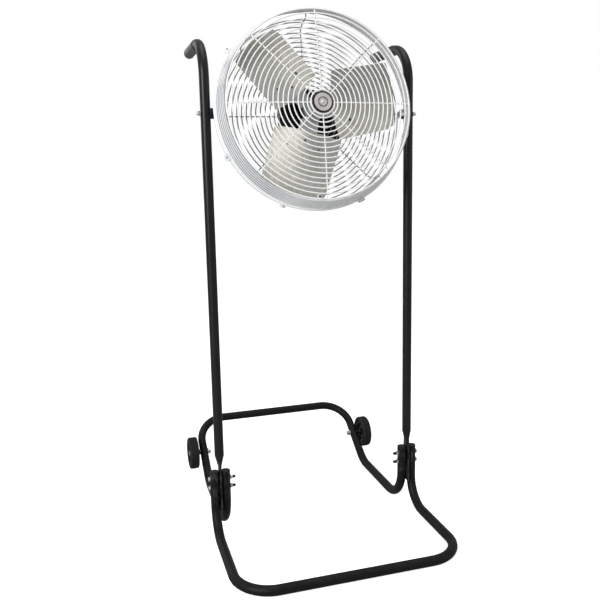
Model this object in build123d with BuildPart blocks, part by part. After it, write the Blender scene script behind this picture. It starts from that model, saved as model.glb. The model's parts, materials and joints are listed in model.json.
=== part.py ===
from build123d import *
import math
import os

os.makedirs("parts", exist_ok=True)

# ---------------------------------------------------------------- driving dimensions (mm)
post_od = 33.4             # upright posts, 1 in nominal pipe
post_wall = 2.0
post_half_gap = 362.0      # post axis from the middle of the stand
base_od = 33.4             # bent base tubes, same pipe
base_wall = 2.0
flat_t = 6.0               # crushed foot of a post, thickness
flat_w = 46.0              # crushed foot of a post, width
flat_top = 247.4           # crushed foot ends here
round_from = 300.0         # post is fully round from here up
flat_bottom = 102.4

front_reach = 430.5        # post axis to front crossbar axis
rear_reach = 669.0         # post axis to rear crossbar axis
kink_reach = 407.0         # post axis to the upward kink of the rear tube
rear_bar_z = 197.9         # rear crossbar axis height
tube_z = base_od / 2       # axis height of tube lying on the floor
upright_top = 238.2        # cut ends of the base tubes

bolt_z = (212.9, 179.4)    # through bolts that clamp the foot
bolt_r = 4.0
bolt_hole_r = 4.2

handle_z = 1717.0          # axis height of the hand grips
handle_bend = 125.0
handle_reach = 320.0
grip_start = 128.0
grip_od = 38.0

axle_reach = 531.5         # post axis to wheel axle
wheel_r = 66.5
wheel_w = 40.0
wheel_gap = 9.5            # tube to inner face of the wheel

pivot_z = 1483.9           # fan axis height where it crosses the line of the posts
pin_drop = 3.4             # the pivot bolts sit this far below the fan axis
tilt_deg = 10.5            # the head looks up by this much

y_post = (front_reach - rear_reach) / 2     # keeps the footprint centred on the origin
x_outer = post_half_gap + flat_t / 2 + base_od / 2
x_inner = post_half_gap - flat_t / 2 - base_od / 2
slope = (rear_bar_z - tube_z) / (rear_reach - kink_reach)
axle_z = tube_z + (axle_reach - kink_reach) * slope
pin_z = pivot_z - pin_drop

# fan head, measured along its own axis from the pivot line (front is positive)
t = math.radians(tilt_deg)
pivot = Vector(0, y_post, pivot_z)
fan_dir = Vector(0, -math.cos(t), math.sin(t))
fan_up = Vector(0, math.sin(t), math.cos(t))
fan_axis = Axis(pivot, fan_dir)


def head_plane(d):
    """Plane square to the fan axis, d in front of the pivot line."""
    return Plane(origin=pivot + fan_dir * d, x_dir=(1, 0, 0), z_dir=fan_dir)


def spoke_dir(a):
    """Direction at angle a (degrees) around the fan axis, seen from the front."""
    return Vector(1, 0, 0) * math.cos(math.radians(a)) + fan_up * math.sin(math.radians(a))


def section_plane(a):
    """Plane holding the fan axis; x is the radius at angle a and y is the fan axis."""
    u = spoke_dir(a)
    return Plane(origin=pivot, x_dir=u, z_dir=u.cross(fan_dir))


sides = ((-1, "left"), (1, "right"))

# ---------------------------------------------------------------- base tubes
with BuildPart() as front_base_tube:
    with BuildLine() as front_path:
        FilletPolyline(
            (-x_outer, y_post, upright_top),
            (-x_outer, y_post, tube_z),
            (-x_outer, y_post - front_reach, tube_z),
            (x_outer, y_post - front_reach, tube_z),
            (x_outer, y_post, tube_z),
            (x_outer, y_post, upright_top),
            radius=(100, 122, 122, 100),
        )
    with BuildSketch(Plane(origin=(-x_outer, y_post, upright_top), z_dir=(0, 0, -1))):
        Circle(base_od / 2)
        Circle(base_od / 2 - base_wall, mode=Mode.SUBTRACT)
    sweep()
    with Locations([(s * x_outer, y_post, z) for s in (-1, 1) for z in bolt_z]):
        Cylinder(bolt_hole_r, base_od + 2, rotation=(0, 90, 0), mode=Mode.SUBTRACT)
front_base_tube.part.label = "front_base_tube"
export_step(front_base_tube.part, "parts/front_base_tube.step")

with BuildPart() as rear_base_tube:
    with BuildLine() as rear_path:
        FilletPolyline(
            (-x_inner, y_post, upright_top),
            (-x_inner, y_post, tube_z),
            (-x_inner, y_post + kink_reach, tube_z),
            (-x_inner, y_post + rear_reach, rear_bar_z),
            (x_inner, y_post + rear_reach, rear_bar_z),
            (x_inner, y_post + kink_reach, tube_z),
            (x_inner, y_post, tube_z),
            (x_inner, y_post, upright_top),
            radius=(122, 125, 114, 114, 125, 122),
        )
    with BuildSketch(Plane(origin=(-x_inner, y_post, upright_top), z_dir=(0, 0, -1))):
        Circle(base_od / 2)
        Circle(base_od / 2 - base_wall, mode=Mode.SUBTRACT)
    sweep()
    with Locations([(s * x_inner, y_post, z) for s in (-1, 1) for z in bolt_z]):
        Cylinder(bolt_hole_r, base_od + 2, rotation=(0, 90, 0), mode=Mode.SUBTRACT)
    with Locations([(s * x_inner, y_post + axle_reach, axle_z) for s in (-1, 1)]):
        Cylinder(6.55, base_od + 2, rotation=(0, 90, 0), mode=Mode.SUBTRACT)
rear_base_tube.part.label = "rear_base_tube"
export_step(rear_base_tube.part, "parts/rear_base_tube.step")

# plugs that close the four cut ends
with BuildPart() as base_tube_plugs:
    spots = [(s * x, y_post) for s in (-1, 1) for x in (x_outer, x_inner)]
    with BuildSketch(Plane.XY.offset(upright_top)):
        with Locations(spots):
            Circle(base_od / 2)
    extrude(amount=2.4)
    fillet(base_tube_plugs.edges().filter_by(GeomType.CIRCLE).group_by(Axis.Z)[-1], 1.0)
    with BuildSketch(Plane.XY.offset(upright_top)):
        with Locations(spots):
            Circle(base_od / 2 - base_wall - 0.05)
    extrude(amount=-14)
base_tube_plugs.part.label = "base_tube_plugs"
export_step(base_tube_plugs.part, "parts/base_tube_plugs.step")

# ---------------------------------------------------------------- posts and grips
for s, name in sides:
    with BuildPart() as post:
        with BuildLine() as post_path:
            FilletPolyline(
                (s * post_half_gap, y_post, round_from),
                (s * post_half_gap, y_post, handle_z),
                (s * post_half_gap, y_post + handle_reach, handle_z),
                radius=handle_bend,
            )
        with BuildSketch(Plane(origin=(s * post_half_gap, y_post, round_from), z_dir=(0, 0, 1))):
            Circle(post_od / 2)
            Circle(post_od / 2 - post_wall, mode=Mode.SUBTRACT)
        sweep()
        # crushed foot: round above, flat below
        with BuildSketch(Plane.XY.offset(round_from)):
            with Locations((s * post_half_gap, y_post)):
                Circle(post_od / 2)
        with BuildSketch(Plane.XY.offset(flat_top)):
            with Locations((s * post_half_gap, y_post)):
                SlotOverall(flat_w, flat_t, rotation=90)
        loft()
        with BuildSketch(Plane.XY.offset(flat_top)):
            with Locations((s * post_half_gap, y_post)):
                SlotOverall(flat_w, flat_t, rotation=90)
        extrude(amount=flat_bottom - flat_top)
        with BuildSketch(Plane.XY.offset(round_from)):
            with Locations((s * post_half_gap, y_post)):
                Circle(post_od / 2 - post_wall)
        with BuildSketch(Plane.XY.offset(flat_top)):
            with Locations((s * post_half_gap, y_post)):
                SlotOverall(flat_w - 2 * post_wall, flat_t - 2 * post_wall, rotation=90)
        loft(mode=Mode.SUBTRACT)
        with BuildSketch(Plane.XY.offset(flat_top)):
            with Locations((s * post_half_gap, y_post)):
                SlotOverall(flat_w - 2 * post_wall, flat_t - 2 * post_wall, rotation=90)
        extrude(amount=flat_bottom - flat_top, mode=Mode.SUBTRACT)
        with Locations([(s * post_half_gap, y_post, z) for z in bolt_z]):
            Cylinder(bolt_hole_r, flat_t + 2, rotation=(0, 90, 0), mode=Mode.SUBTRACT)
        with Locations((s * post_half_gap, y_post, pin_z)):
            Cylinder(4.2, post_od + 2, rotation=(0, 90, 0), mode=Mode.SUBTRACT)
    post.part.label = name + "_post"
    export_step(post.part, "parts/" + name + "_post.step")

    with BuildPart() as grip:
        with BuildSketch(Plane(origin=(s * post_half_gap, y_post + grip_start, handle_z), z_dir=(0, 1, 0))):
            Circle(grip_od / 2)
        extrude(amount=handle_reach + 6 - grip_start)
        fillet(grip.edges().sort_by(Axis.Y)[-1], 11)
        fillet(grip.edges().sort_by(Axis.Y)[0], 1.2)
        with BuildSketch(Plane(origin=(s * post_half_gap, y_post + grip_start, handle_z), z_dir=(0, 1, 0))):
            Circle(post_od / 2 + 0.1)
        extrude(amount=handle_reach + 0.6 - grip_start, mode=Mode.SUBTRACT)
    grip.part.label = name + "_grip"
    export_step(grip.part, "parts/" + name + "_grip.step")

# ---------------------------------------------------------------- foot bolts
x_out_face = x_outer + base_od / 2
x_in_face = x_inner - base_od / 2
foot_spots = [(s, z) for s in (-1, 1) for z in bolt_z]
bolt_end = x_in_face - 15.7

with BuildPart() as foot_bolts:
    for s, z in foot_spots:
        with BuildSketch(Plane(origin=(s * (x_out_face + 1.7), y_post, z), z_dir=(s, 0, 0))):
            Circle(8.0)
        extrude(amount=4.6)
        with BuildSketch(Plane(origin=(s * (x_out_face + 1.7), y_post, z), z_dir=(-s, 0, 0))):
            Circle(bolt_r)
        extrude(amount=x_out_face + 1.7 - bolt_end)
    fillet(foot_bolts.edges().filter_by(GeomType.CIRCLE).group_by(Axis.X)[0], 2.4)
    fillet(foot_bolts.edges().filter_by(GeomType.CIRCLE).group_by(Axis.X)[-1], 2.4)
foot_bolts.part.label = "foot_bolts"
export_step(foot_bolts.part, "parts/foot_bolts.step")

with BuildPart() as foot_washers:
    for s, z in foot_spots:
        for x in (x_out_face, x_in_face - 1.7):
            with BuildSketch(Plane(origin=(s * x, y_post, z), z_dir=(s, 0, 0))):
                Circle(8.6)
                Circle(4.25, mode=Mode.SUBTRACT)
            extrude(amount=1.6)
foot_washers.part.label = "foot_washers"
export_step(foot_washers.part, "parts/foot_washers.step")

nut_x = x_in_face - 1.8
with BuildPart() as foot_nuts:
    for s, z in foot_spots:
        with BuildSketch(Plane(origin=(s * nut_x, y_post, z), z_dir=(-s, 0, 0))):
            RegularPolygon(6.5, 6, major_radius=False)
            Circle(4.05, mode=Mode.SUBTRACT)
        extrude(amount=6.5)
foot_nuts.part.label = "foot_nuts"
export_step(foot_nuts.part, "parts/foot_nuts.step")

with BuildPart() as thread_caps:
    for s, z in foot_spots:
        with BuildSketch(Plane(origin=(s * (nut_x - 6.6), y_post, z), z_dir=(-s, 0, 0))):
            Circle(5.4)
        extrude(amount=10.5)
        with BuildSketch(Plane(origin=(s * (nut_x - 6.6), y_post, z), z_dir=(-s, 0, 0))):
            Circle(4.08)
        extrude(amount=7.6, mode=Mode.SUBTRACT)
    ends = [e for e in thread_caps.edges().filter_by(GeomType.CIRCLE) if e.radius > 5 and abs(e.center().X) < nut_x - 17]
    fillet(ends, 3.6)
thread_caps.part.label = "thread_caps"
export_step(thread_caps.part, "parts/thread_caps.step")

# ---------------------------------------------------------------- wheels
wheel_x0 = x_inner + base_od / 2 + wheel_gap      # inner face of the wheel
y_axle = y_post + axle_reach

for s, name in sides:
    wheel_axis = Axis((0, y_axle, axle_z), (1, 0, 0))
    # profile plane: x is distance outwards from the wheel's inner face, y is the radius
    prof = Plane(origin=(s * wheel_x0, y_axle, axle_z), x_dir=(s, 0, 0), z_dir=(0, -s, 0))
    with BuildPart() as tyre:
        with BuildSketch(prof):
            with BuildLine():
                Polyline(
                    (4, 44.2), (4, 47), (1.2, 49.5), (0, 55), (1.5, wheel_r - 4), (5.5, wheel_r - 0.8), (9.6, wheel_r),
                    (10.8, wheel_r - 2.4), (12.4, wheel_r - 2.4), (13.6, wheel_r), (18, wheel_r),
                    (19.2, wheel_r - 2.4), (20.8, wheel_r - 2.4), (22, wheel_r), (26.4, wheel_r),
                    (27.6, wheel_r - 2.4), (29.2, wheel_r - 2.4), (30.4, wheel_r), (wheel_w - 5.5, wheel_r - 0.8),
                    (wheel_w - 1.5, wheel_r - 4), (wheel_w, 55), (wheel_w - 1.2, 49.5), (wheel_w - 4, 47), (wheel_w - 4, 44.2), (4, 44.2),
                )
            make_face()
        revolve(axis=wheel_axis)
    tyre.part.label = name + "_tyre"
    export_step(tyre.part, "parts/" + name + "_tyre.step")

    with BuildPart() as hub:
        with BuildSketch(prof):
            with BuildLine():
                Polyline(
                    (0.4, 6.43), (0.4, 13), (3, 15), (13, 16), (13, 37), (4.5, 39), (4.5, 44), (35.5, 44), (35.5, 39),
                    (22, 37), (20, 16), (27.2, 15), (27.2, 6.43), (0.4, 6.43),
                )
            make_face()
        revolve(axis=wheel_axis)
        # lightening holes between the spokes of the web
        with BuildSketch(Plane(origin=(s * (wheel_x0 + 10), y_axle, axle_z), z_dir=(s, 0, 0))):
            with PolarLocations(26.5, 6, start_angle=30):
                Circle(6.5)
        extrude(amount=14, mode=Mode.SUBTRACT)
    hub.part.label = name + "_wheel_hub"
    export_step(hub.part, "parts/" + name + "_wheel_hub.step")

    with BuildPart() as axle:
        with BuildSketch(Plane(origin=(s * (wheel_x0 + 29.4), y_axle, axle_z), z_dir=(s, 0, 0))):
            RegularPolygon(9.5, 6, major_radius=False)
        extrude(amount=7.6)
        chamfer(axle.faces().sort_by(Axis.X)[-1 if s > 0 else 0].edges(), 1.0)
        with BuildSketch(Plane(origin=(s * (wheel_x0 + 29.4), y_axle, axle_z), z_dir=(-s, 0, 0))):
            Circle(6.35)
        extrude(amount=wheel_x0 + 29.4 - (x_in_face - 14.6))
        chamfer(axle.edges().filter_by(GeomType.CIRCLE).sort_by(Axis.X)[0 if s > 0 else -1], 1.4)
    axle.part.label = name + "_axle_bolt"
    export_step(axle.part, "parts/" + name + "_axle_bolt.step")

with BuildPart() as axle_spacers:
    for s, name in sides:
        with BuildSketch(Plane(origin=(s * (x_inner + base_od / 2), y_axle, axle_z), z_dir=(s, 0, 0))):
            Circle(11.0)
            Circle(6.5, mode=Mode.SUBTRACT)
        extrude(amount=wheel_gap - 0.1)
axle_spacers.part.label = "axle_spacers"
export_step(axle_spacers.part, "parts/axle_spacers.step")

with BuildPart() as axle_washers:
    for s, name in sides:
        for x, w in ((x_in_face - 2.1, 2.0), (wheel_x0 + 27.6, 1.7)):
            with BuildSketch(Plane(origin=(s * x, y_axle, axle_z), z_dir=(s, 0, 0))):
                Circle(12.5)
                Circle(6.5, mode=Mode.SUBTRACT)
            extrude(amount=w)
axle_washers.part.label = "axle_washers"
export_step(axle_washers.part, "parts/axle_washers.step")

with BuildPart() as axle_nuts:
    for s, name in sides:
        with BuildSketch(Plane(origin=(s * (x_in_face - 2.2), y_axle, axle_z), z_dir=(-s, 0, 0))):
            RegularPolygon(9.5, 6, major_radius=False)
            Circle(6.42, mode=Mode.SUBTRACT)
        extrude(amount=10.0)
axle_nuts.part.label = "axle_nuts"
export_step(axle_nuts.part, "parts/axle_nuts.step")

# ---------------------------------------------------------------- pivots
pin_end = post_half_gap + post_od / 2 + 9.9

with BuildPart() as pivot_bolts:
    for s, name in sides:
        with BuildSketch(Plane(origin=(s * 330.6, y_post, pin_z), z_dir=(-s, 0, 0))):
            Circle(7.5)
        extrude(amount=5.0)
        with BuildSketch(Plane(origin=(s * 330.6, y_post, pin_z), z_dir=(s, 0, 0))):
            Circle(4.0)
        extrude(amount=pin_end - 330.6)
    fillet([e for e in pivot_bolts.edges().filter_by(GeomType.CIRCLE) if e.radius > 7 and abs(e.center().X) < 327], 2.2)
pivot_bolts.part.label = "pivot_bolts"
export_step(pivot_bolts.part, "parts/pivot_bolts.step")

with BuildPart() as pivot_spacers:
    for s, name in sides:
        with BuildSketch(Plane(origin=(s * 334.5, y_post, pin_z), z_dir=(s, 0, 0))):
            Circle(17.5)
            Circle(4.2, mode=Mode.SUBTRACT)
        extrude(amount=18.0)
        with BuildSketch(Plane.XY.offset(pin_z - 20)):
            with Locations((s * post_half_gap, y_post)):
                Circle(post_od / 2 + 0.08)
        extrude(amount=40, mode=Mode.SUBTRACT)
pivot_spacers.part.label = "pivot_spacers"
export_step(pivot_spacers.part, "parts/pivot_spacers.step")

with BuildPart() as pivot_washers:
    for s, name in sides:
        with BuildSketch(Plane(origin=(s * (post_half_gap + post_od / 2), y_post, pin_z), z_dir=(s, 0, 0))):
            Circle(8.5)
            Circle(4.2, mode=Mode.SUBTRACT)
        extrude(amount=1.6)
pivot_washers.part.label = "pivot_washers"
export_step(pivot_washers.part, "parts/pivot_washers.step")

with BuildPart() as pivot_nuts:
    for s, name in sides:
        x0 = post_half_gap + post_od / 2 + 1.7
        with BuildSketch(Plane(origin=(s * x0, y_post, pin_z), x_dir=(s, 0, 0), z_dir=(0, -s, 0))):
            with BuildLine():
                Polyline((0, 4.04), (0, 5.6), (6.6, 5.6))
                ThreePointArc((6.6, 5.6), (10.4, 4.4), (12.0, 1.6))
                Polyline((12.0, 1.6), (12.0, 0), (9.0, 0), (9.0, 4.04), (0, 4.04))
            make_face()
        revolve(axis=Axis((0, y_post, pin_z), (1, 0, 0)))
        with BuildSketch(Plane(origin=(s * x0, y_post, pin_z), z_dir=(s, 0, 0))):
            RegularPolygon(6.5, 6, major_radius=False)
            Circle(4.04, mode=Mode.SUBTRACT)
        extrude(amount=5.4)
pivot_nuts.part.label = "pivot_nuts"
export_step(pivot_nuts.part, "parts/pivot_nuts.step")

# forked straps welded to the back of the head, one at each pivot
pin_up = -pin_drop * math.cos(t)
pin_d = -pin_drop * math.sin(t)
with BuildPart() as pivot_brackets:
    for s, name in sides:
        with BuildSketch(Plane(origin=pivot + Vector(s * 331.0, 0, 0), x_dir=fan_up, z_dir=(s, 0, 0))) as outline:
            with Locations((pin_up, s * 1.5)):
                Rectangle(22, 53)
            fillet(outline.vertices(), 6)
            with Locations((0, s * 23)):
                Rectangle(9, 16, mode=Mode.SUBTRACT)
            with Locations((pin_up, s * pin_d)):
                Circle(4.06, mode=Mode.SUBTRACT)
        extrude(amount=3.0)
pivot_brackets.part.label = "pivot_brackets"
export_step(pivot_brackets.part, "parts/pivot_brackets.step")

# ---------------------------------------------------------------- shroud hoop
def cone_r(d):
    """Outer radius of the hoop sheet at station d."""
    return 335.5 - (d - 30.0) * (335.5 - 318.0) / 78.0


with BuildPart() as shroud_hoop:
    with BuildSketch(section_plane(0)):
        with BuildLine():
            Polyline((cone_r(30) - 1.5, 30), (cone_r(30), 30), (cone_r(108), 108), (cone_r(108) - 1.5, 108), (cone_r(30) - 1.5, 30))
        make_face()
        with Locations((337.3, 31.6)):
            Circle(3.5)
        with Locations((317.2, 109.0)):
            Circle(2.2)
    revolve(axis=fan_axis)
shroud_hoop.part.label = "shroud_hoop"
export_step(shroud_hoop.part, "parts/shroud_hoop.step")

# overlap plate at the bottom seam of the hoop
with BuildPart() as hoop_seam_plate:
    with BuildSketch(section_plane(-89.5)):
        with BuildLine():
            Polyline((cone_r(42) + 0.05, 42), (cone_r(42) + 1.55, 42), (cone_r(100) + 1.55, 100), (cone_r(100) + 0.05, 100), (cone_r(42) + 0.05, 42))
        make_face()
    revolve(axis=fan_axis, revolution_arc=3.6)
hoop_seam_plate.part.label = "hoop_seam_plate"
export_step(hoop_seam_plate.part, "parts/hoop_seam_plate.step")

# ---------------------------------------------------------------- wire guards
wire_r = 2.1
front_d = 120.0
dome = 14.0                # the front guard bulges forward by this much in the middle
dome_span = 301.0
front_rings = [52.0, 66.0] + [66.0 + 16.4 * k for k in range(1, 15)]
rib_angles = [45 * k for k in range(8)]


def bulge(r):
    """Forward bulge of the front guard at radius r."""
    return dome * (1.0 - (r / dome_span) ** 2)



ring_seam = 17.0           # rings are closed between two ribs


def guard_rib(pts, bend):
    """One straight-through rib wire in the plane of angle 0."""
    sp = section_plane(0)
    p = [sp.from_local_coords(Vector(q[0], q[1], 0)) for q in pts]
    with BuildPart() as rib:
        with BuildLine() as path:
            FilletPolyline(*p, radius=bend)
        with BuildSketch(Plane(origin=p[0], x_dir=fan_dir.cross(spoke_dir(0)), z_dir=spoke_dir(0))):
            Circle(wire_r)
        sweep(path=path.wires()[0])
    return rib.part


rib_steps = (24.0, 107.0, 205.4, 271.0, dome_span)
rib_line = [(r, front_d - 3.8 + bulge(r)) for r in rib_steps] + [(314.6, 109.4)]
front_rib = guard_rib(rib_line, (300, 300, 300, 12))
with BuildPart() as front_guard:
    with BuildSketch(section_plane(ring_seam)):
        with Locations([(r, front_d + bulge(r)) for r in front_rings]):
            Circle(wire_r)
        with Locations((40.0, front_d + bulge(40.0))):
            Circle(2.6)
        with Locations((312.4, 114.6)):
            Circle(2.6)
    revolve(axis=fan_axis)
    add([front_rib.rotate(fan_axis, a) for a in rib_angles])
front_guard.part.label = "front_guard"
export_step(front_guard.part, "parts/front_guard.step")

rear_d = -58.0
rear_rings = [98.0 + 16.4 * k for k in range(13)]
rear_rib = guard_rib(((93.5, -54.2), (301.0, -54.2), (314.0, -34.0), (321.5, 20.0), (339.8, 20.0)), 6)
with BuildPart() as rear_guard:
    with BuildSketch(section_plane(ring_seam)):
        with Locations([(r, rear_d) for r in rear_rings]):
            Circle(wire_r)
        with Locations((310.7, -46.2), (319.4, -22.6), (321.6, -6.8)):
            Circle(wire_r)
        with Locations((337.2, 24.6)):
            Circle(3.0)
    revolve(axis=fan_axis)
    add([rear_rib.rotate(fan_axis, a) for a in rib_angles])
rear_guard.part.label = "rear_guard"
export_step(rear_guard.part, "parts/rear_guard.step")

# clamps that hold hoop and rear guard together
clamp_angles = [30.0, 58.0, 86.5, 145.0, 207.0, 248.0, 296.0, 346.0]
clamp_r = 345.7
clamp_spots = [(clamp_r * math.cos(math.radians(a)), clamp_r * math.sin(math.radians(a))) for a in clamp_angles]
with BuildPart() as guard_clamps:
    for a in clamp_angles:
        with BuildSketch(section_plane(a - 1.8)):
            with BuildLine():
                Polyline(
                    (333.2, 19.2), (349.0, 19.2), (349.0, 20.7), (342.6, 20.7), (342.6, 35.8), (349.0, 35.8), (349.0, 37.3),
                    (337.8, 37.3), (337.8, 35.8), (341.2, 35.8), (341.2, 20.7), (333.2, 20.7), (333.2, 19.2),
                )
            make_face()
        revolve(axis=fan_axis, revolution_arc=3.6)
    with BuildSketch(head_plane(15)):
        with Locations(clamp_spots):
            Circle(1.75)
    extrude(amount=26, mode=Mode.SUBTRACT)
guard_clamps.part.label = "guard_clamps"
export_step(guard_clamps.part, "parts/guard_clamps.step")

with BuildPart() as clamp_screws:
    with BuildSketch(head_plane(13.4)):
        with Locations(clamp_spots):
            Circle(1.6)
    extrude(amount=24.2)
    with BuildSketch(head_plane(37.4)):
        with Locations(clamp_spots):
            Circle(2.9)
    extrude(amount=2.4)
    with BuildSketch(head_plane(16.4)):
        with Locations(clamp_spots):
            RegularPolygon(2.7, 6, major_radius=False)
    extrude(amount=2.7)
clamp_screws.part.label = "clamp_screws"
export_step(clamp_screws.part, "parts/clamp_screws.step")

# screwed tab that keeps the front guard in the mouth of the hoop
tab_a = -95.2
tab_r = 305.5
with BuildPart() as guard_tab:
    with BuildSketch(section_plane(tab_a - 1.1)):
        with BuildLine():
            Polyline(
                (299.5, 107.4), (299.5, 106.0), (cone_r(106) - 3.2, 106.0), (cone_r(92) - 3.2, 92.0), (cone_r(92) - 1.55, 92.0),
                (cone_r(106.6) - 1.55, 106.6), (313.0, 107.4), (299.5, 107.4),
            )
        make_face()
    revolve(axis=fan_axis, revolution_arc=2.2)
    with BuildSketch(head_plane(100)):
        with Locations((tab_r * math.cos(math.radians(tab_a)), tab_r * math.sin(math.radians(tab_a)))):
            Circle(2.15)
    extrude(amount=12, mode=Mode.SUBTRACT)
guard_tab.part.label = "guard_tab"
export_step(guard_tab.part, "parts/guard_tab.step")

with BuildPart() as guard_tab_clip:
    with BuildSketch(section_plane(tab_a - 1.0)):
        with BuildLine():
            Polyline((299.5, 117.35), (315.4, 117.35), (315.4, 118.75), (299.5, 118.75), (299.5, 117.35))
        make_face()
    revolve(axis=fan_axis, revolution_arc=2.0)
    with BuildSketch(head_plane(110)):
        with Locations((tab_r * math.cos(math.radians(tab_a)), tab_r * math.sin(math.radians(tab_a)))):
            Circle(2.15)
    extrude(amount=12, mode=Mode.SUBTRACT)
guard_tab_clip.part.label = "guard_tab_clip"
export_step(guard_tab_clip.part, "parts/guard_tab_clip.step")

with BuildPart() as guard_screw:
    with BuildSketch(head_plane(101)):
        with Locations((tab_r * math.cos(math.radians(tab_a)), tab_r * math.sin(math.radians(tab_a)))):
            Circle(2.0)
    extrude(amount=18.0)
    with BuildSketch(head_plane(118.85)):
        with Locations((tab_r * math.cos(math.radians(tab_a)), tab_r * math.sin(math.radians(tab_a)))):
            Circle(4.2)
    extrude(amount=3.0)
    with BuildSketch(head_plane(102.6)):
        with Locations((tab_r * math.cos(math.radians(tab_a)), tab_r * math.sin(math.radians(tab_a)))):
            RegularPolygon(3.5, 6, major_radius=False)
    extrude(amount=3.2)
guard_screw.part.label = "guard_screw"
export_step(guard_screw.part, "parts/guard_screw.step")

# ---------------------------------------------------------------- centre badge
badge_d = front_d - 1.5 + dome     # back face of the badge
with BuildPart() as badge:
    with BuildSketch(section_plane(0)):
        with BuildLine():
            Polyline(
                (0, badge_d), (35.2, badge_d), (35.2, badge_d + 4.1), (33.8, badge_d + 5.9), (30.8, badge_d + 5.9),
                (29.6, badge_d + 4.5), (17.2, badge_d + 4.5), (16.4, badge_d + 5.4), (14.2, badge_d + 5.4), (13.4, badge_d + 4.5),
                (6.0, badge_d + 4.5), (3.8, badge_d + 5.7), (0, badge_d + 5.9), (0, badge_d),
            )
        make_face()
    revolve(axis=fan_axis)
badge.part.label = "badge"
export_step(badge.part, "parts/badge.step")

badge_spots = [(18.0 * math.cos(math.radians(a)), 18.0 * math.sin(math.radians(a))) for a in (22.5, 202.5)]
with BuildPart() as badge_back_plate:
    with BuildSketch(head_plane(badge_d - 6.1)):
        Circle(33.0)
        with Locations(badge_spots):
            Circle(2.15, mode=Mode.SUBTRACT)
    extrude(amount=1.5)
badge_back_plate.part.label = "badge_back_plate"
export_step(badge_back_plate.part, "parts/badge_back_plate.step")

with BuildPart() as badge_screws:
    with BuildSketch(head_plane(badge_d - 8.7)):
        with Locations(badge_spots):
            Circle(3.6)
    extrude(amount=2.5)
    with BuildSketch(head_plane(badge_d - 6.5)):
        with Locations(badge_spots):
            Circle(2.0)
    extrude(amount=6.4)
badge_screws.part.label = "badge_screws"
export_step(badge_screws.part, "parts/badge_screws.step")

# ---------------------------------------------------------------- motor
motor_r = 84.0
shell_wall = 6.0
shaft_r = 8.0

with BuildPart() as motor_shell:
    with BuildSketch(head_plane(-124)):
        Circle(motor_r)
        Circle(motor_r - shell_wall, mode=Mode.SUBTRACT)
    extrude(amount=84)
motor_shell.part.label = "motor_shell"
export_step(motor_shell.part, "parts/motor_shell.step")

bell_spots = [(80.7 * math.cos(math.radians(a)), 80.7 * math.sin(math.radians(a))) for a in (0, 90, 180, 270)]
tie_spots = [(73.5 * math.cos(math.radians(a)), 73.5 * math.sin(math.radians(a))) for a in (-35, 55, 145, 235)]
with BuildPart() as motor_front_bell:
    with BuildSketch(section_plane(0)):
        with BuildLine():
            Polyline(
                (9.0, -20), (20, -20), (24, -23), (60, -26), (80, -29), (motor_r, -33), (motor_r, -39.9), (77.6, -39.9),
                (77.6, -33.5), (60, -31), (24.5, -28), (24.5, -37.0), (17.55, -37.0), (17.55, -24.4), (9.0, -24.4), (9.0, -20),
            )
        make_face()
    revolve(axis=fan_axis)
    with BuildSketch(head_plane(-28.9)):
        with Locations(tie_spots):
            Circle(6.9)
    extrude(amount=5, mode=Mode.SUBTRACT)
    with BuildSketch(head_plane(-36)):
        with Locations(tie_spots):
            Circle(2.1)
    extrude(amount=12, mode=Mode.SUBTRACT)
motor_front_bell.part.label = "motor_front_bell"
export_step(motor_front_bell.part, "parts/motor_front_bell.step")

with BuildPart() as tie_bolts:
    with BuildSketch(head_plane(-28.8)):
        with Locations(tie_spots):
            Circle(6.5)
    extrude(amount=1.4)
    with BuildSketch(head_plane(-27.5)):
        with Locations(tie_spots):
            RegularPolygon(4.0, 6, major_radius=False)
    extrude(amount=4.0)
    with BuildSketch(head_plane(-32.6)):
        with Locations(tie_spots):
            Circle(2.0)
    extrude(amount=4.2)
tie_bolts.part.label = "tie_bolts"
export_step(tie_bolts.part, "parts/tie_bolts.step")

with BuildPart() as motor_rear_bell:
    with BuildSketch(section_plane(0)):
        with BuildLine():
            Polyline(
                (0, -147), (22, -147), (30, -143), (66, -140), (80, -136), (motor_r, -131.5), (motor_r, -124.1), (77.6, -124.1),
                (77.6, -131.0), (60, -134.5), (24.5, -137.5), (24.5, -128.0), (17.55, -128.0), (17.55, -141.4), (0, -141.4), (0, -147),
            )
        make_face()
    revolve(axis=fan_axis)
    with BuildSketch(head_plane(-150)):
        with Locations(bell_spots):
            Circle(3.4)
    extrude(amount=17.6, mode=Mode.SUBTRACT)
    with BuildSketch(head_plane(-150)):
        with Locations(bell_spots):
            Circle(1.65)
    extrude(amount=30, mode=Mode.SUBTRACT)
motor_rear_bell.part.label = "motor_rear_bell"
export_step(motor_rear_bell.part, "parts/motor_rear_bell.step")

with BuildPart() as bell_screws:
    with BuildSketch(head_plane(-135.3)):
        with Locations(bell_spots):
            Circle(2.9)
    extrude(amount=2.8)
    with BuildSketch(head_plane(-133)):
        with Locations(bell_spots):
            Circle(1.5)
    extrude(amount=8.8)
bell_screws.part.label = "bell_screws"
export_step(bell_screws.part, "parts/bell_screws.step")

stator_r = motor_r - shell_wall - 0.05
with BuildPart() as stator:
    with BuildSketch(head_plane(-112)):
        Circle(stator_r)
        Circle(50.4, mode=Mode.SUBTRACT)
        with PolarLocations(61.0, 24):
            SlotOverall(15, 6.0, mode=Mode.SUBTRACT)
    extrude(amount=56)
stator.part.label = "stator"
export_step(stator.part, "parts/stator.step")

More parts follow.
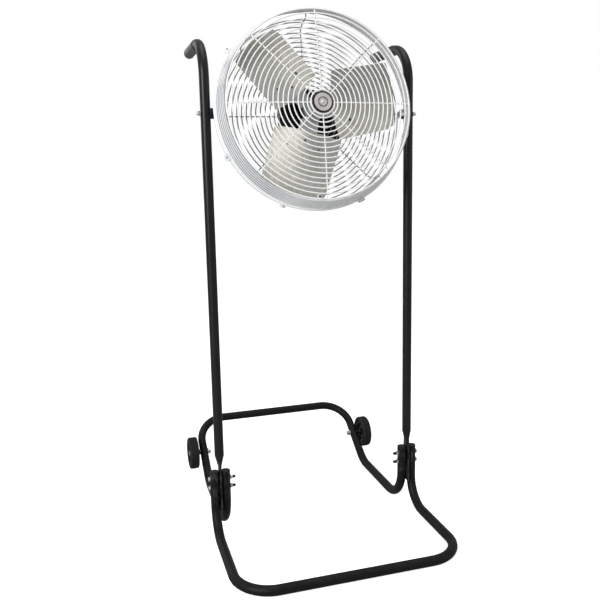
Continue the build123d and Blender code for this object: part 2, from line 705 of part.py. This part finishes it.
with BuildPart() as stator_windings:
    with BuildSketch(section_plane(0)):
        for d in (-50.4, -117.6):
            with Locations((61.0, d)):
                RectangleRounded(16, 10.6, 4.5)
    revolve(axis=fan_axis)
    with BuildSketch(head_plane(-115)):
        with PolarLocations(61.0, 24):
            SlotOverall(14.4, 5.4)
    extrude(amount=62)
stator_windings.part.label = "stator_windings"
export_step(stator_windings.part, "parts/stator_windings.step")

with BuildPart() as motor_bearings:
    for d in (-36.6, -141.2):
        with BuildSketch(head_plane(d)):
            Circle(17.5)
            Circle(shaft_r + 0.05, mode=Mode.SUBTRACT)
        extrude(amount=12.0)
motor_bearings.part.label = "motor_bearings"
export_step(motor_bearings.part, "parts/motor_bearings.step")

with BuildPart() as motor_shaft:
    with BuildSketch(head_plane(-139)):
        Circle(shaft_r)
    extrude(amount=187)
    chamfer(motor_shaft.edges().filter_by(GeomType.CIRCLE), 1.0)
motor_shaft.part.label = "motor_shaft"
export_step(motor_shaft.part, "parts/motor_shaft.step")

with BuildPart() as rotor_core:
    with BuildSketch(head_plane(-111)):
        Circle(49.8)
        Circle(shaft_r + 0.02, mode=Mode.SUBTRACT)
    extrude(amount=54)
    with BuildSketch(head_plane(-118)):
        Circle(47)
        Circle(36, mode=Mode.SUBTRACT)
    extrude(amount=68)
rotor_core.part.label = "rotor_core"
export_step(rotor_core.part, "parts/rotor_core.step")

# closed box saddled on the lower right side of the motor
with BuildPart() as motor_box:
    with BuildSketch(head_plane(-118)) as outline:
        with Locations((88.5, -48.0)):
            Rectangle(63, 84)
        fillet(outline.vertices(), 7)
    extrude(amount=54.0)
    fillet(motor_box.faces().sort_by(Axis(pivot, fan_dir))[0].edges(), 3)
    with BuildSketch(head_plane(-125)):
        Circle(motor_r + 0.1)
    extrude(amount=70, mode=Mode.SUBTRACT)
motor_box.part.label = "motor_box"
export_step(motor_box.part, "parts/motor_box.step")

mount_r = 106.2
mount_spots = [(mount_r * math.cos(math.radians(a)), mount_r * math.sin(math.radians(a))) for a in (22.5, 112.5, 202.5, 292.5)]
with BuildPart() as motor_mount_plate:
    with BuildSketch(head_plane(-63.4)):
        Circle(103.0)
        with Locations(mount_spots):
            Circle(11.0)
        Circle(motor_r + 0.05, mode=Mode.SUBTRACT)
        with Locations(mount_spots):
            Circle(3.25, mode=Mode.SUBTRACT)
    extrude(amount=3.2)
motor_mount_plate.part.label = "motor_mount_plate"
export_step(motor_mount_plate.part, "parts/motor_mount_plate.step")

with BuildPart() as mount_bolts:
    with BuildSketch(head_plane(-67.6)):
        with Locations(mount_spots):
            RegularPolygon(5.0, 6, major_radius=False)
    extrude(amount=4.1)
    with BuildSketch(head_plane(-64)):
        with Locations(mount_spots):
            Circle(3.0)
    extrude(amount=16.0)
    with BuildSketch(head_plane(-54.0)):
        with Locations(mount_spots):
            RegularPolygon(5.0, 6, major_radius=False)
    extrude(amount=4.6)
mount_bolts.part.label = "mount_bolts"
export_step(mount_bolts.part, "parts/mount_bolts.step")

with BuildPart() as mount_washers:
    with BuildSketch(head_plane(-55.8)):
        with Locations(mount_spots):
            Circle(8.6)
            Circle(3.25, mode=Mode.SUBTRACT)
    extrude(amount=1.6)
mount_washers.part.label = "mount_washers"
export_step(mount_washers.part, "parts/mount_washers.step")

# ---------------------------------------------------------------- blades and spider
blade_t = 2.0
blade_angles = (131.0, 11.0, -109.0)


def blade_arc(off):
    """Three points of the blade section, (across, fan axis), moved forward by off."""
    return ((-125.0, -8.7 + off), (0.0, 21.0 + off), (125.0, 74.7 + off))


def blade_strip(lo, hi):
    """Closed curved strip between two offsets of the blade section."""
    a0, a1, a2 = blade_arc(lo)
    b0, b1, b2 = blade_arc(hi)
    ThreePointArc(a0, a1, a2)
    Line(a2, b2)
    ThreePointArc(b2, b1, b0)
    Line(b0, a0)


def radial_plane(a, r):
    """Plane facing outwards at angle a; x runs anticlockwise and y is the fan axis."""
    u = spoke_dir(a)
    return Plane(origin=pivot + u * r, x_dir=fan_dir.cross(u), z_dir=u)


with BuildPart() as hub_sleeve:
    with BuildSketch(section_plane(0)):
        with BuildLine():
            Polyline((shaft_r + 0.02, 4), (24, 4), (24, 8), (18, 8), (18, 44), (16.5, 45.5), (shaft_r + 0.02, 45.5), (shaft_r + 0.02, 4))
        make_face()
    revolve(axis=fan_axis)
    with BuildSketch(radial_plane(71, 0)):
        with Locations((0, 41)):
            Circle(2.9)
    extrude(amount=30, mode=Mode.SUBTRACT)
hub_sleeve.part.label = "hub_sleeve"
export_step(hub_sleeve.part, "parts/hub_sleeve.step")

with BuildPart() as set_screw:
    with BuildSketch(radial_plane(71, shaft_r + 0.05)):
        with Locations((0, 41)):
            Circle(2.85)
            RegularPolygon(1.4, 6, major_radius=False, mode=Mode.SUBTRACT)
    extrude(amount=9.0)
set_screw.part.label = "set_screw"
export_step(set_screw.part, "parts/set_screw.step")

# circle through the three points of the blade section (across, fan axis)
(ax, ay), (bx, by), (cx, cy) = blade_arc(0)
det = 2 * (ax * (by - cy) + bx * (cy - ay) + cx * (ay - by))
sec_x = ((ax**2 + ay**2) * (by - cy) + (bx**2 + by**2) * (cy - ay) + (cx**2 + cy**2) * (ay - by)) / det
sec_y = ((ax**2 + ay**2) * (cx - bx) + (bx**2 + by**2) * (ax - cx) + (cx**2 + cy**2) * (bx - ax)) / det
sec_r = math.hypot(ax - sec_x, ay - sec_y)


def rivet_plane(a, u, v):
    """Plane lying on the back skin of the blade at (u, v), facing forward."""
    d = sec_y - math.sqrt(sec_r**2 - (v - sec_x)**2)
    across = fan_dir.cross(spoke_dir(a))
    here = pivot + spoke_dir(a) * u + across * v + fan_dir * d
    normal = across * ((sec_x - v) / sec_r) + fan_dir * ((sec_y - d) / sec_r)
    return Plane(origin=here, x_dir=spoke_dir(a), z_dir=normal)


def turned(a, pts):
    """Outline points (out, across) swung to the angle a."""
    c, sn = math.cos(math.radians(a)), math.sin(math.radians(a))
    return [(p[0] * c - p[1] * sn, p[0] * sn + p[1] * c) for p in pts]


rivet_uv = ((130.0, -51.0), (130.0, 50.0), (106.0, 0.0))
tip_r = 303.0

for n, a in enumerate(blade_angles):
    with BuildPart() as blade:
        with BuildSketch(radial_plane(a, 66)):
            with BuildLine():
                blade_strip(0, blade_t)
            make_face()
        extrude(amount=249)
        with BuildSketch(head_plane(-30)) as outline:
            c0, r0, r1, c1, c2, c3, c4, c5 = turned(a, ((83, 112), (73, 50), (73, -50), (81, -109), (266, -109), (288.5, -101), (tip_r, 0), (284.5, 104)))
            with BuildLine():
                Polyline(c0, r0, r1, c1, c2)
                Line(c2, c3)
                ThreePointArc(c3, c4, c5)
                Line(c5, c0)
            make_face()
            fillet(outline.vertices(), 8)
        extrude(amount=125, mode=Mode.INTERSECT)
        for uv in rivet_uv:
            with BuildSketch(rivet_plane(a, *uv)):
                Circle(2.55)
            extrude(amount=6, both=True, mode=Mode.SUBTRACT)
    blade.part.label = "blade_" + str(n + 1)
    export_step(blade.part, "parts/blade_" + str(n + 1) + ".step")

with BuildPart() as blade_spider:
    for a in blade_angles:
        with BuildSketch(radial_plane(a, 33)):
            with BuildLine():
                blade_strip(-3.1, -0.1)
            make_face()
        extrude(amount=135)
    with BuildSketch(head_plane(-30)):
        Circle(37)
        for a in blade_angles:
            with BuildLine():
                Polyline(
                    *turned(a, ((20, -27), (70, -31), (100, -55), (128, -70), (152, -69), (161, -58), (163, 0), (161, 58), (152, 69), (128, 70), (100, 55), (70, 31), (20, 27))),
                    close=True,
                )
            make_face()
    extrude(amount=125, mode=Mode.INTERSECT)
    with BuildSketch(head_plane(8.1)):
        Circle(36)
    extrude(amount=26)
    with BuildSketch(head_plane(0)):
        Circle(18.05)
    extrude(amount=60, mode=Mode.SUBTRACT)
    for a in blade_angles:
        for uv in rivet_uv:
            with BuildSketch(rivet_plane(a, *uv)):
                Circle(2.55)
            extrude(amount=8, both=True, mode=Mode.SUBTRACT)
        with BuildSketch(head_plane(0)):
            with Locations(turned(a, ((76.0, 0.0),))):
                Circle(3.0)
        extrude(amount=50, mode=Mode.SUBTRACT)
blade_spider.part.label = "blade_spider"
export_step(blade_spider.part, "parts/blade_spider.step")

with BuildPart() as blade_rivets:
    for a in blade_angles:
        for uv in rivet_uv:
            base = rivet_plane(a, *uv)
            with BuildSketch(base.offset(-3.4)):
                Circle(2.4)
            extrude(amount=5.9)
            with BuildSketch(base.offset(2.15)):
                Circle(5.0)
            extrude(amount=1.7)
            with BuildSketch(base.offset(-3.3)):
                Circle(4.6)
            extrude(amount=-2.0)
blade_rivets.part.label = "blade_rivets"
export_step(blade_rivets.part, "parts/blade_rivets.step")
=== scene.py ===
import json
import math
import random

import bpy
from mathutils import Matrix, Vector

random.seed(7)
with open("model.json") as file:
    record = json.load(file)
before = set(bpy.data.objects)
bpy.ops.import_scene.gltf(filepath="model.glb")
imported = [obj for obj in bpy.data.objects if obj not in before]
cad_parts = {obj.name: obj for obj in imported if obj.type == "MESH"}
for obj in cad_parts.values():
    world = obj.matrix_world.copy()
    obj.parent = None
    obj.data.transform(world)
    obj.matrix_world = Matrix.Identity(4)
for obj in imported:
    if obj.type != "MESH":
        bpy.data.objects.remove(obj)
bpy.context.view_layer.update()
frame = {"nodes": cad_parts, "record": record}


N = frame["nodes"]

# ------------------------------------------------------------------ node helpers


def new_mat(name):
    m = bpy.data.materials.new(name)
    m.use_nodes = True
    nt = m.node_tree
    bsdf = nt.nodes["Principled BSDF"]
    tc = nt.nodes.new("ShaderNodeTexCoord")
    return m, nt, bsdf, tc.outputs["Object"]


def noise(nt, vec, scale, detail=4.0, rough=0.55, dist=0.0):
    n = nt.nodes.new("ShaderNodeTexNoise")
    n.inputs["Scale"].default_value = scale
    n.inputs["Detail"].default_value = detail
    n.inputs["Roughness"].default_value = rough
    n.inputs["Distortion"].default_value = dist
    nt.links.new(vec, n.inputs["Vector"])
    return n.outputs["Fac"]


def stretch(nt, vec, scale, rot=(0, 0, 0)):
    mp = nt.nodes.new("ShaderNodeMapping")
    mp.inputs["Scale"].default_value = scale
    mp.inputs["Rotation"].default_value = rot
    nt.links.new(vec, mp.inputs["Vector"])
    return mp.outputs["Vector"]


def ramp(nt, fac, stops, mode="LINEAR"):
    r = nt.nodes.new("ShaderNodeValToRGB")
    r.color_ramp.interpolation = mode
    el = r.color_ramp.elements
    while len(el) > 1:
        el.remove(el[-1])
    el[0].position = stops[0][0]
    el[0].color = col(stops[0][1])
    for p, c in stops[1:]:
        e = el.new(p)
        e.color = col(c)
    nt.links.new(fac, r.inputs["Fac"])
    return r.outputs["Color"]


def col(c):
    if isinstance(c, (int, float)):
        return (c, c, c, 1.0)
    return (c[0], c[1], c[2], 1.0)


def mix(nt, fac, a, b, blend="MIX"):
    m = nt.nodes.new("ShaderNodeMix")
    m.data_type = "RGBA"
    m.blend_type = blend
    for i, v in ((0, fac), (6, a), (7, b)):
        if isinstance(v, bpy.types.NodeSocket):
            nt.links.new(v, m.inputs[i])
        else:
            m.inputs[i].default_value = v if i == 0 else col(v)
    return m.outputs[2]


def math_node(nt, op, a, b=0.0, clamp=False):
    m = nt.nodes.new("ShaderNodeMath")
    m.operation = op
    m.use_clamp = clamp
    for sock, v in ((m.inputs[0], a), (m.inputs[1], b)):
        if isinstance(v, bpy.types.NodeSocket):
            nt.links.new(v, sock)
        else:
            sock.default_value = v
    return m.outputs[0]


def bump(nt, bsdf, height, strength, distance):
    b = nt.nodes.new("ShaderNodeBump")
    b.inputs["Strength"].default_value = strength
    b.inputs["Distance"].default_value = distance
    nt.links.new(height, b.inputs["Height"])
    nt.links.new(b.outputs["Normal"], bsdf.inputs["Normal"])
    return b


def edge_mask(nt, lo, hi):
    """Bright on convex edges."""
    g = nt.nodes.new("ShaderNodeNewGeometry")
    return ramp(nt, g.outputs["Pointiness"], [(lo, 0.0), (hi, 1.0)])


def set_in(bsdf, **kw):
    for k, v in kw.items():
        bsdf.inputs[k.replace("_", " ")].default_value = v


# ------------------------------------------------------------------ materials
def coated(name, base, lift, rough, scale, grain, wear=None, metallic=0.0, coat=0.0, dust=0.0, spec=0.5):
    """Powder-coated or painted metal: fine orange-peel bump, soft mottling and slightly worn edges."""
    m, nt, b, vec = new_mat(name)
    cloud = noise(nt, vec, 9.0, 5.0, 0.6)
    speck = noise(nt, vec, 900.0, 2.0, 0.5)
    c = ramp(nt, cloud, [(0.3, base), (0.7, lift)])
    c = mix(nt, math_node(nt, "MULTIPLY", speck, 0.16), c, lift)
    if wear is not None:
        scuff = noise(nt, stretch(nt, vec, (1.0, 1.0, 0.35)), 85.0, 6.0, 0.7)
        mask = math_node(nt, "MULTIPLY", edge_mask(nt, 0.53, 0.62), ramp(nt, scuff, [(0.48, 0.0), (0.62, 1.0)]))
        c = mix(nt, math_node(nt, "MULTIPLY", mask, 0.7), c, wear)
    if dust:
        g = nt.nodes.new("ShaderNodeNewGeometry")
        s = nt.nodes.new("ShaderNodeSeparateXYZ")
        nt.links.new(g.outputs["Normal"], s.inputs[0])
        up = ramp(nt, s.outputs["Z"], [(0.35, 0.0), (1.0, 1.0)])
        d = math_node(nt, "MULTIPLY", up, ramp(nt, noise(nt, vec, 60.0, 6.0, 0.65), [(0.4, 0.0), (0.75, 1.0)]))
        c = mix(nt, math_node(nt, "MULTIPLY", d, dust), c, (0.55, 0.54, 0.52))
    nt.links.new(c, b.inputs["Base Color"])
    r = ramp(nt, noise(nt, vec, 40.0, 4.0, 0.6), [(0.3, rough - 0.05), (0.7, rough + 0.07)])
    nt.links.new(r, b.inputs["Roughness"])
    b.inputs["Metallic"].default_value = metallic
    b.inputs["Specular IOR Level"].default_value = spec
    b.inputs["Coat Weight"].default_value = coat
    b.inputs["Coat Roughness"].default_value = 0.12
    bump(nt, b, noise(nt, vec, scale, 3.0, 0.5), grain, 0.0006)
    return m


post_black = coated("post_satin_black", (0.0042, 0.0047, 0.0053), (0.0066, 0.0074, 0.0083), 0.33, 420.0, 0.22, wear=(0.12, 0.12, 0.13), spec=0.30)
base_black = coated("base_powder_black", (0.0034, 0.0035, 0.0037), (0.0062, 0.0064, 0.0067), 0.46, 620.0, 0.55, wear=(0.12, 0.12, 0.12), dust=0.02, spec=0.17)
motor_black = coated("motor_satin_black", (0.0028, 0.0028, 0.0030), (0.0050, 0.0050, 0.0054), 0.46, 300.0, 0.3, wear=(0.10, 0.10, 0.10), dust=0.02, spec=0.10)
guard_white = coated("guard_white_powder", (0.86, 0.86, 0.855), (0.90, 0.90, 0.895), 0.26, 350.0, 0.18, wear=(0.62, 0.62, 0.61), spec=0.5)

TILT = math.radians(10.5)
PIVOT = (0.0, -0.11925, 1.4839)
FAN_DIR = (0.0, -math.cos(TILT), math.sin(TILT))
FAN_UP = (0.0, math.sin(TILT), math.cos(TILT))


def dot_node(nt, vec, direction):
    """Length along a direction, measured from the crossing of fan axis and posts."""
    sub = nt.nodes.new("ShaderNodeVectorMath")
    sub.operation = "SUBTRACT"
    nt.links.new(vec, sub.inputs[0])
    sub.inputs[1].default_value = PIVOT
    dp = nt.nodes.new("ShaderNodeVectorMath")
    dp.operation = "DOT_PRODUCT"
    nt.links.new(sub.outputs[0], dp.inputs[0])
    dp.inputs[1].default_value = direction
    return dp.outputs["Value"]


def tint(m, factor):
    """Multiply the colour that already feeds the shader by another one."""
    nt = m.node_tree
    sock = nt.nodes["Principled BSDF"].inputs["Base Color"]
    old = sock.links[0].from_socket
    nt.links.new(mix(nt, 1.0, old, factor, "MULTIPLY"), sock)


def hoop_material():
    """Coated sheet with fine dark lines running round the left part of the outside: wire rings over the sheet drawn
    together with their painted shadows, only on the side the key light falls on.
    """
    m = coated("hoop_white_powder", (0.83, 0.84, 0.845), (0.88, 0.885, 0.885), 0.30, 350.0, 0.10, wear=(0.62, 0.62, 0.61), spec=0.5)
    nt = m.node_tree
    vec = nt.nodes["Texture Coordinate"].outputs["Object"]
    along = dot_node(nt, vec, FAN_DIR)
    wobble = math_node(nt, "MULTIPLY", noise(nt, vec, 3.0, 2.0, 0.5), 0.010)
    phase = math_node(nt, "MULTIPLY", math_node(nt, "ADD", along, wobble), 2 * math.pi / 0.0125)
    wave = math_node(nt, "MULTIPLY_ADD", math_node(nt, "SINE", phase), 0.5)
    nt.nodes[-1].inputs[2].default_value = 0.5
    line = ramp(nt, wave, [(0.30, 0.0), (0.62, 1.0)])
    left = math.radians(196.5)
    side = dot_node(nt, vec, (math.cos(left), math.sin(left) * FAN_UP[1], math.sin(left) * FAN_UP[2]))
    # Lines kept to the left sector only: painted wire shade where the side light falls.
    lit_left_sector = ramp(nt, math_node(nt, "MULTIPLY", side, 1.0 / 0.327), [(0.56, 0.0), (0.78, 1.0)])
    outer = ramp(nt, math_node(nt, "MULTIPLY", along, 10.0), [(0.36, 0.0), (0.42, 1.0)])
    mask = math_node(nt, "MULTIPLY", math_node(nt, "MULTIPLY", line, lit_left_sector), outer)
    tint(m, mix(nt, mask, (1.0, 1.0, 1.0), (0.40, 0.41, 0.43)))
    return m


def blade_material(name, shade_tone, lit_tone):
    """Warm grey paint, darker towards one long edge of each blade: painted shade across the cambered blade, with a
    mottled edge to the gradient.
    """
    m = coated(name, (0.435, 0.425, 0.375), (0.49, 0.48, 0.43), 0.36, 240.0, 0.14, wear=(0.62, 0.62, 0.60), spec=0.45)
    nt = m.node_tree
    vec = nt.nodes["Texture Coordinate"].outputs["Object"]
    # Angle round the fan axis drives a gradient across each blade: painted shade, darker on one long edge.
    a = math_node(nt, "ARCTAN2", dot_node(nt, vec, FAN_UP), dot_node(nt, vec, (1.0, 0.0, 0.0)))
    turn = math_node(nt, "COSINE", math_node(nt, "MULTIPLY", math_node(nt, "SUBTRACT", a, math.radians(101.0)), 3.0))
    shade_mottle = math_node(nt, "MULTIPLY", noise(nt, vec, 14.0, 5.0, 0.6), 0.07)
    fac = math_node(nt, "ADD", math_node(nt, "MULTIPLY", turn, 0.5), math_node(nt, "ADD", shade_mottle, 0.465), clamp=True)
    fac = math_node(nt, "POWER", fac, 1.6)
    tint(m, mix(nt, fac, (shade_tone, shade_tone, shade_tone * 1.01), (lit_tone, lit_tone * 0.992, lit_tone * 0.965)))
    return m


hoop_white = hoop_material()
# Rear guard: same white coat as the front guard, set to a darker grey as painted shade for a guard that sits back in
# shadow and is backlit.
rear_shaded_white = coated("rear_guard_shaded_white", (0.36, 0.36, 0.36), (0.46, 0.46, 0.455), 0.40, 350.0, 0.18, wear=(0.55, 0.55, 0.54), spec=0.4)
# Each blade gets its own dark and light tone: painted light and shade for how each blade faces the lamps.
blade_looks = {
    "blade_1": blade_material("blade_grey_painted_shade_1", 0.92, 1.46),
    "blade_2": blade_material("blade_grey_painted_shade_2", 0.64, 1.24),
    "blade_3": blade_material("blade_grey_painted_shade_3", 0.60, 1.90),
}


def metal(name, base, lift, rough, direction, aniso=0.0, metallic=1.0, tarnish=0.25):
    """Bare or plated metal with fine directional scratches and a little tarnish."""
    m, nt, b, vec = new_mat(name)
    fine = noise(nt, stretch(nt, vec, direction), 260.0, 5.0, 0.65)
    blot = noise(nt, vec, 34.0, 6.0, 0.62)
    c = ramp(nt, fine, [(0.3, base), (0.7, lift)])
    dark = tuple(v * 0.55 for v in base)
    c = mix(nt, math_node(nt, "MULTIPLY", ramp(nt, blot, [(0.45, 0.0), (0.75, 1.0)]), tarnish), c, dark)
    nt.links.new(c, b.inputs["Base Color"])
    r = ramp(nt, blot, [(0.3, rough), (0.75, rough + 0.16)])
    nt.links.new(r, b.inputs["Roughness"])
    b.inputs["Metallic"].default_value = metallic
    b.inputs["Anisotropic"].default_value = aniso
    bump(nt, b, fine, 0.25, 0.0002)
    return m


zinc = metal("zinc_plate", (0.60, 0.61, 0.62), (0.72, 0.73, 0.74), 0.24, (1.0, 1.0, 6.0))
spider_silver = metal("spider_aluminium", (0.42, 0.43, 0.43), (0.66, 0.67, 0.67), 0.24, (5.0, 1.0, 1.0), tarnish=0.45)
steel_core = metal("bare_steel", (0.36, 0.36, 0.37), (0.50, 0.50, 0.51), 0.34, (1.0, 9.0, 1.0))
rivet_steel = metal("dull_rivet_steel", (0.14, 0.14, 0.14), (0.26, 0.26, 0.26), 0.42, (4.0, 1.0, 1.0), tarnish=0.5)
copper = metal("wound_copper", (0.50, 0.22, 0.10), (0.62, 0.31, 0.15), 0.32, (1.0, 12.0, 1.0))
dark_screw = coated("black_oxide", (0.010, 0.010, 0.010), (0.022, 0.022, 0.022), 0.36, 500.0, 0.2, wear=(0.25, 0.25, 0.25), spec=0.6)


def plastic(name, base, lift, rough, scale, grain, coat=0.0, spec=0.5):
    m, nt, b, vec = new_mat(name)
    c = ramp(nt, noise(nt, vec, 28.0, 6.0, 0.6), [(0.3, base), (0.72, lift)])
    nt.links.new(c, b.inputs["Base Color"])
    r = ramp(nt, noise(nt, vec, 70.0, 4.0, 0.6), [(0.3, rough - 0.04), (0.7, rough + 0.08)])
    nt.links.new(r, b.inputs["Roughness"])
    b.inputs["Specular IOR Level"].default_value = spec
    b.inputs["Coat Weight"].default_value = coat
    bump(nt, b, noise(nt, vec, scale, 4.0, 0.6), grain, 0.0005)
    return m


vinyl = plastic("grip_vinyl", (0.040, 0.042, 0.045), (0.060, 0.063, 0.067), 0.42, 520.0, 0.35)
rubber = plastic("tyre_rubber", (0.008, 0.008, 0.008), (0.017, 0.017, 0.0165), 0.64, 380.0, 0.55, spec=0.25)
hub_black = plastic("hub_plastic", (0.005, 0.005, 0.005), (0.009, 0.009, 0.009), 0.30, 260.0, 0.15, spec=0.25)
black_plastic = plastic("black_plastic", (0.005, 0.005, 0.005), (0.010, 0.010, 0.0105), 0.44, 420.0, 0.3, spec=0.2)


def badge_material():
    """Turned disc: fine concentric lathe rings, dark rim."""
    m, nt, b, vec = new_mat("badge_turned")
    axis = (0.0, -math.cos(math.radians(10.5)), math.sin(math.radians(10.5)))
    centre = (0.0, -0.11925 - 0.137 * math.cos(math.radians(10.5)), 1.4839 + 0.137 * math.sin(math.radians(10.5)))
    sub = nt.nodes.new("ShaderNodeVectorMath")
    sub.operation = "SUBTRACT"
    nt.links.new(vec, sub.inputs[0])
    sub.inputs[1].default_value = centre
    cr = nt.nodes.new("ShaderNodeVectorMath")
    cr.operation = "CROSS_PRODUCT"
    nt.links.new(sub.outputs[0], cr.inputs[0])
    cr.inputs[1].default_value = axis
    ln = nt.nodes.new("ShaderNodeVectorMath")
    ln.operation = "LENGTH"
    nt.links.new(cr.outputs[0], ln.inputs[0])
    rad = ln.outputs["Value"]
    rings = math_node(nt, "SINE", math_node(nt, "MULTIPLY", rad, 2 * math.pi / 0.00075))
    grain = noise(nt, vec, 500.0, 4.0, 0.6)
    face = mix(nt, grain, (0.76, 0.71, 0.71), (0.93, 0.87, 0.87))
    # Darker bands at the boss edge and round the raised ring are painted groove shade; the dark outer rim is the
    # badge's own colour.
    rim_and_groove_shade = ramp(nt, math_node(nt, "MULTIPLY", rad, 25.0), [
        (0.0, 1.0), (0.135, 1.0), (0.150, 0.35), (0.165, 0.95), (0.325, 0.80), (0.340, 0.15), (0.415, 0.15),
        (0.430, 0.90), (0.700, 1.0), (0.735, 0.55), (0.76, 0.0), (1.0, 0.0),
    ])
    c = mix(nt, rim_and_groove_shade, (0.035, 0.032, 0.032), face)
    nt.links.new(c, b.inputs["Base Color"])
    b.inputs["Metallic"].default_value = 0.85
    nt.links.new(ramp(nt, grain, [(0.3, 0.26), (0.7, 0.38)]), b.inputs["Roughness"])
    bump(nt, b, rings, 0.35, 0.0001)
    return m


badge_mat = badge_material()

LOOK = {
    "post_black": post_black,
    "base_black": base_black,
    "guard_white": guard_white,
    "blade_beige": blade_looks["blade_1"],
    "spider_silver": spider_silver,
    "zinc": zinc,
    "dark_screw": dark_screw,
    "motor_black": motor_black,
    "steel_core": steel_core,
    "copper": copper,
    "vinyl_grip": vinyl,
    "tyre_rubber": rubber,
    "hub_plastic": hub_black,
    "black_plastic": black_plastic,
    "badge_metal": badge_mat,
}
slot_of = {s["node"]: s["material_slot"] for s in frame["record"]["subparts"]}
own_look = {"shroud_hoop": hoop_white, "hoop_seam_plate": hoop_white, "rear_guard": rear_shaded_white}
own_look.update(blade_looks)
own_look["blade_rivets"] = rivet_steel
for name, ob in N.items():
    ob.data.materials.clear()
    ob.data.materials.append(own_look.get(name, LOOK[slot_of[name]]))

# ------------------------------------------------------------------ stage
floor_mat, nt, b, vec = new_mat("pale_floor")
c = ramp(nt, noise(nt, vec, 1.3, 3.0, 0.5), [(0.3, 0.86), (0.7, 0.90)])
nt.links.new(c, b.inputs["Base Color"])
set_in(b, Roughness=0.85, Specular_IOR_Level=0.1)
glow = nt.nodes.new("ShaderNodeEmission")
glow.inputs["Strength"].default_value = 0.72
both = nt.nodes.new("ShaderNodeAddShader")
nt.links.new(b.outputs[0], both.inputs[0])
nt.links.new(glow.outputs[0], both.inputs[1])
ray = nt.nodes.new("ShaderNodeLightPath")
pick = nt.nodes.new("ShaderNodeMixShader")
nt.links.new(ray.outputs["Is Camera Ray"], pick.inputs[0])
soak = nt.nodes.new("ShaderNodeBsdfDiffuse")
soak.inputs["Color"].default_value = (0.50, 0.50, 0.50, 1.0)
nt.links.new(soak.outputs[0], pick.inputs[1])
nt.links.new(both.outputs[0], pick.inputs[2])
nt.links.new(pick.outputs[0], nt.nodes["Material Output"].inputs["Surface"])
bpy.ops.mesh.primitive_plane_add(size=60.0, location=(0, 0, -0.0005))
floor = bpy.context.object
floor.name = "floor"
floor.data.materials.append(floor_mat)


def area(name, loc, target, size, power, color=(1, 1, 1)):
    l = bpy.data.lights.new(name, "AREA")
    l.shape = "RECTANGLE"
    l.size, l.size_y = size
    l.energy = power
    l.color = color
    o = bpy.data.objects.new(name, l)
    o.location = loc
    o.rotation_euler = (Vector(target) - Vector(loc)).to_track_quat("-Z", "Y").to_euler()
    bpy.context.scene.collection.objects.link(o)
    return o


area("key_left", (-3.5, -2.9, 2.5), (0, -0.1, 1.2), (1.5, 2.6), 165, (0.98, 0.99, 1.0))
area("fill_right", (3.4, -3.0, 2.0), (0, 0, 0.9), (2.5, 2.5), 17)
area("top", (0.1, -0.3, 4.6), (0, 0, 0.8), (2.6, 2.6), 36)
area("back_left", (-2.2, 3.4, 2.8), (0, 0, 1.2), (1.6, 2.6), 16)

world = bpy.data.worlds.new("studio")
bpy.context.scene.world = world
world.use_nodes = True
wt = world.node_tree
bg = wt.nodes["Background"]
bg.inputs["Color"].default_value = (1.0, 1.0, 1.0, 1)
bg.inputs["Strength"].default_value = 0.46
white = wt.nodes.new("ShaderNodeBackground")
white.inputs["Color"].default_value = (1.0, 1.0, 1.0, 1)
white.inputs["Strength"].default_value = 1.0
lp = wt.nodes.new("ShaderNodeLightPath")
wm = wt.nodes.new("ShaderNodeMixShader")
wt.links.new(lp.outputs["Is Camera Ray"], wm.inputs[0])
wt.links.new(bg.outputs[0], wm.inputs[1])
wt.links.new(white.outputs[0], wm.inputs[2])
wt.links.new(wm.outputs[0], wt.nodes["World Output"].inputs["Surface"])

# ------------------------------------------------------------------ camera
yaw, pitch, roll = math.radians(16.39), math.radians(9.53), math.radians(-1.11)
fw = Vector((math.sin(yaw) * math.cos(pitch), math.cos(yaw) * math.cos(pitch), -math.sin(pitch)))
right = Vector((math.cos(yaw), -math.sin(yaw), 0.0))
up = right.cross(fw)
r2 = right * math.cos(roll) + up * math.sin(roll)
u2 = up * math.cos(roll) - right * math.sin(roll)
cam_data = bpy.data.cameras.new("camera")
cam_data.sensor_fit = "HORIZONTAL"
cam_data.sensor_width = 36.0
cam_data.lens = 42.85
cam_data.shift_x = -0.005
cam_data.shift_y = -0.0197
cam_data.clip_start = 0.05
cam_data.clip_end = 200.0
cam = bpy.data.objects.new("camera", cam_data)
m3 = Matrix((r2, u2, -fw)).transposed()
cam.matrix_world = Matrix.Translation((-0.744, -2.393 - 0.11925, 1.2974)) @ m3.to_4x4()
bpy.context.scene.collection.objects.link(cam)
bpy.context.scene.camera = cam
bpy.context.scene.view_settings.view_transform = "Standard"
